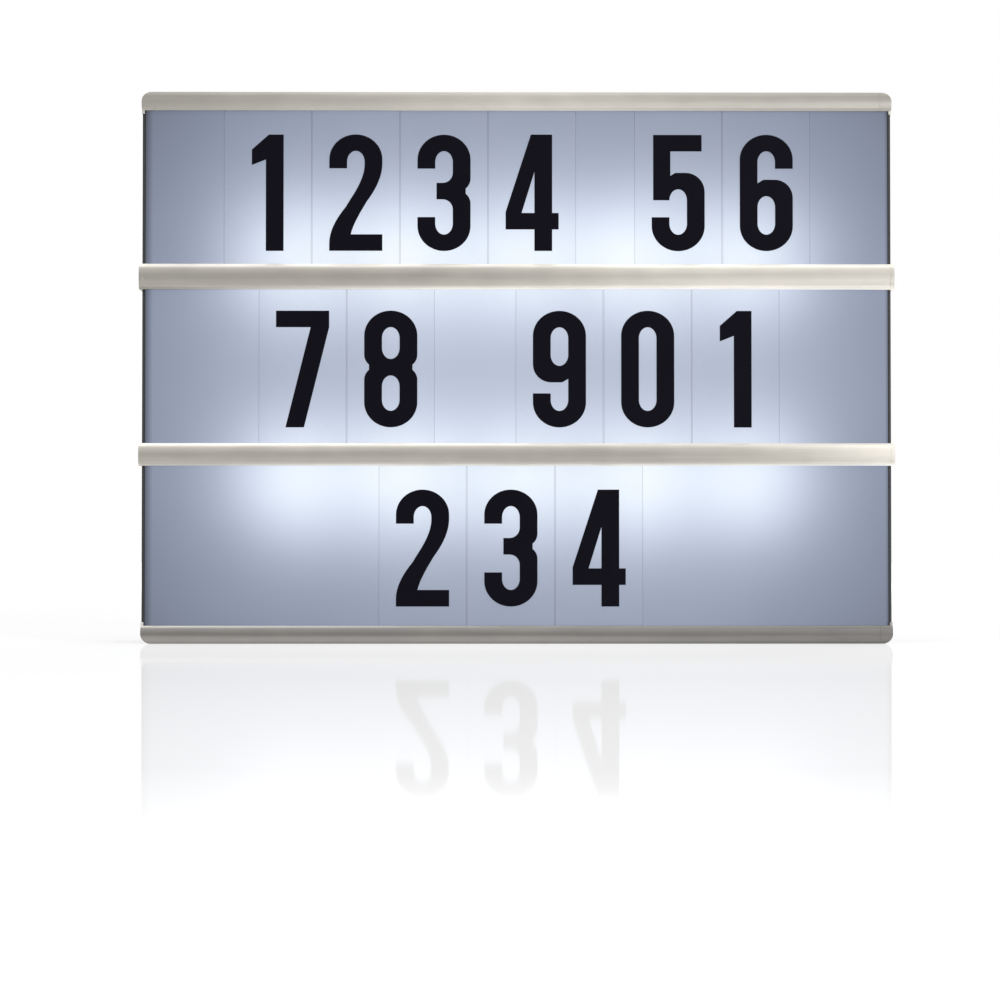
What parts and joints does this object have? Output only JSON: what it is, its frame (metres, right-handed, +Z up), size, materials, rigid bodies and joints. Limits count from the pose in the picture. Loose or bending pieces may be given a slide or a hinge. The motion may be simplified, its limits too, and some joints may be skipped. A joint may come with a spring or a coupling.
{
  "type": "light box with letter rows",
  "caption": "Flat lit message box with rows of sliding letter cards between satin rails, a battery well and door, a slide switch and a power inlet at the back.",
  "frame": {"origin": "middle of the base: bottom centre of the bounding box", "axes": "+Z up, +X to the right as seen from the lit face, which looks along -Y"},
  "size_m": [0.301, 0.055, 0.22],
  "materials": {
    "housing_plastic": "fine satin grain",
    "cover_plastic": "fine matt grain",
    "door_plastic": "fine matt grain",
    "panel_white": "satin, lit from behind",
    "reflector_white": "matt white",
    "board_white": "white solder mask",
    "lamp_white": "gloss",
    "rail_satin": "champagne silver, satin, brushed along its length",
    "cap_satin": "champagne silver paint, satin",
    "card_film": "clear film",
    "cell_can": "satin sleeve with bare ends",
    "spring_steel": "bright nickel",
    "contact_steel": "bright nickel",
    "switch_black": "satin",
    "knob_black": "satin",
    "inlet_black": "satin",
    "pin_brass": "nickel plated",
    "screw_steel": "zinc plated",
    "wire_red": "insulation",
    "wire_black": "insulation"
  },
  "bodies": {
    "light_box": {"housing_frame": "housing_plastic", "back_cover": "cover_plastic", "diffuser_panel": "panel_white", "reflector_tray": "reflector_white", "top_rail": "rail_satin", "upper_rail": "rail_satin", "lower_rail": "rail_satin", "bottom_rail": "rail_satin", "top_rail_cap_left": "cap_satin", "top_rail_cap_right": "cap_satin", "upper_rail_cap_left": "cap_satin", "upper_rail_cap_right": "cap_satin", "lower_rail_cap_left": "cap_satin", "lower_rail_cap_right": "cap_satin", "bottom_rail_cap_left": "cap_satin", "bottom_rail_cap_right": "cap_satin", "led_board_upper": "board_white", "led_board_lower": "board_white", "leds_upper": "lamp_white", "leds_lower": "lamp_white", "aa_cell_1": "cell_can", "aa_cell_2": "cell_can", "aa_cell_3": "cell_can", "aa_cell_4": "cell_can", "aa_cell_5": "cell_can", "aa_cell_6": "cell_can", "battery_springs": "spring_steel", "contact_plates": "contact_steel", "switch_body": "switch_black", "dc_jack_body": "inlet_black", "dc_jack_pin": "pin_brass", "cover_screws": "screw_steel", "positive_wires": "wire_red", "negative_wires": "wire_black"},
    "card_1_1": {"card_1_1": "card_film"},
    "card_1_2": {"card_1_2": "card_film"},
    "card_1_3": {"card_1_3": "card_film"},
    "card_1_4": {"card_1_4": "card_film"},
    "card_1_5": {"card_1_5": "card_film"},
    "card_1_6": {"card_1_6": "card_film"},
    "card_2_1": {"card_2_1": "card_film"},
    "card_2_2": {"card_2_2": "card_film"},
    "card_2_3": {"card_2_3": "card_film"},
    "card_2_4": {"card_2_4": "card_film"},
    "card_2_5": {"card_2_5": "card_film"},
    "card_3_1": {"card_3_1": "card_film"},
    "card_3_2": {"card_3_2": "card_film"},
    "card_3_3": {"card_3_3": "card_film"},
    "battery_door": {"battery_door": "door_plastic"},
    "switch_knob": {"switch_knob": "knob_black"}
  },
  "joints": [
    {"name": "card_1_1_slide", "type": "slide", "parent": "light_box", "child": "card_1_1", "axis": [1, 0, 0], "range_m": [-0.0273, 0.0351]},
    {"name": "card_1_2_slide", "type": "slide", "parent": "light_box", "child": "card_1_2", "axis": [1, 0, 0], "range_m": [-0.0625, 0.0351]},
    {"name": "card_1_3_slide", "type": "slide", "parent": "light_box", "child": "card_1_3", "axis": [1, 0, 0], "range_m": [-0.0351, 0.0583]},
    {"name": "card_1_4_slide", "type": "slide", "parent": "light_box", "child": "card_1_4", "axis": [1, 0, 0], "range_m": [-0.0351, 0.0583]},
    {"name": "card_1_5_slide", "type": "slide", "parent": "light_box", "child": "card_1_5", "axis": [1, 0, 0], "range_m": [-0.0583, 0.0623]},
    {"name": "card_1_6_slide", "type": "slide", "parent": "light_box", "child": "card_1_6", "axis": [1, 0, 0], "range_m": [-0.0583, 0.0271]},
    {"name": "card_2_1_slide", "type": "slide", "parent": "light_box", "child": "card_2_1", "axis": [1, 0, 0], "range_m": [-0.0413, 0.0672]},
    {"name": "card_2_2_slide", "type": "slide", "parent": "light_box", "child": "card_2_2", "axis": [1, 0, 0], "range_m": [-0.0765, 0.0672]},
    {"name": "card_2_3_slide", "type": "slide", "parent": "light_box", "child": "card_2_3", "axis": [1, 0, 0], "range_m": [-0.0672, 0.0351]},
    {"name": "card_2_4_slide", "type": "slide", "parent": "light_box", "child": "card_2_4", "axis": [1, 0, 0], "range_m": [-0.0672, 0.0746]},
    {"name": "card_2_5_slide", "type": "slide", "parent": "light_box", "child": "card_2_5", "axis": [1, 0, 0], "range_m": [-0.0351, 0.0394]},
    {"name": "card_3_1_slide", "type": "slide", "parent": "light_box", "child": "card_3_1", "axis": [1, 0, 0], "range_m": [-0.0892, 0.0351]},
    {"name": "card_3_2_slide", "type": "slide", "parent": "light_box", "child": "card_3_2", "axis": [1, 0, 0], "range_m": [-0.1244, 0.1292]},
    {"name": "card_3_3_slide", "type": "slide", "parent": "light_box", "child": "card_3_3", "axis": [1, 0, 0], "range_m": [-0.0351, 0.094]},
    {"name": "battery_door_hinge", "type": "hinge", "parent": "light_box", "child": "battery_door", "pos_m": [0, 0.026, 0.0434], "axis": [-1, 0, 0], "range_deg": [0, 100]},
    {"name": "switch_slide", "type": "slide", "parent": "light_box", "child": "switch_knob", "axis": [1, 0, 0], "range_m": [0, 0.004]}
  ]
}
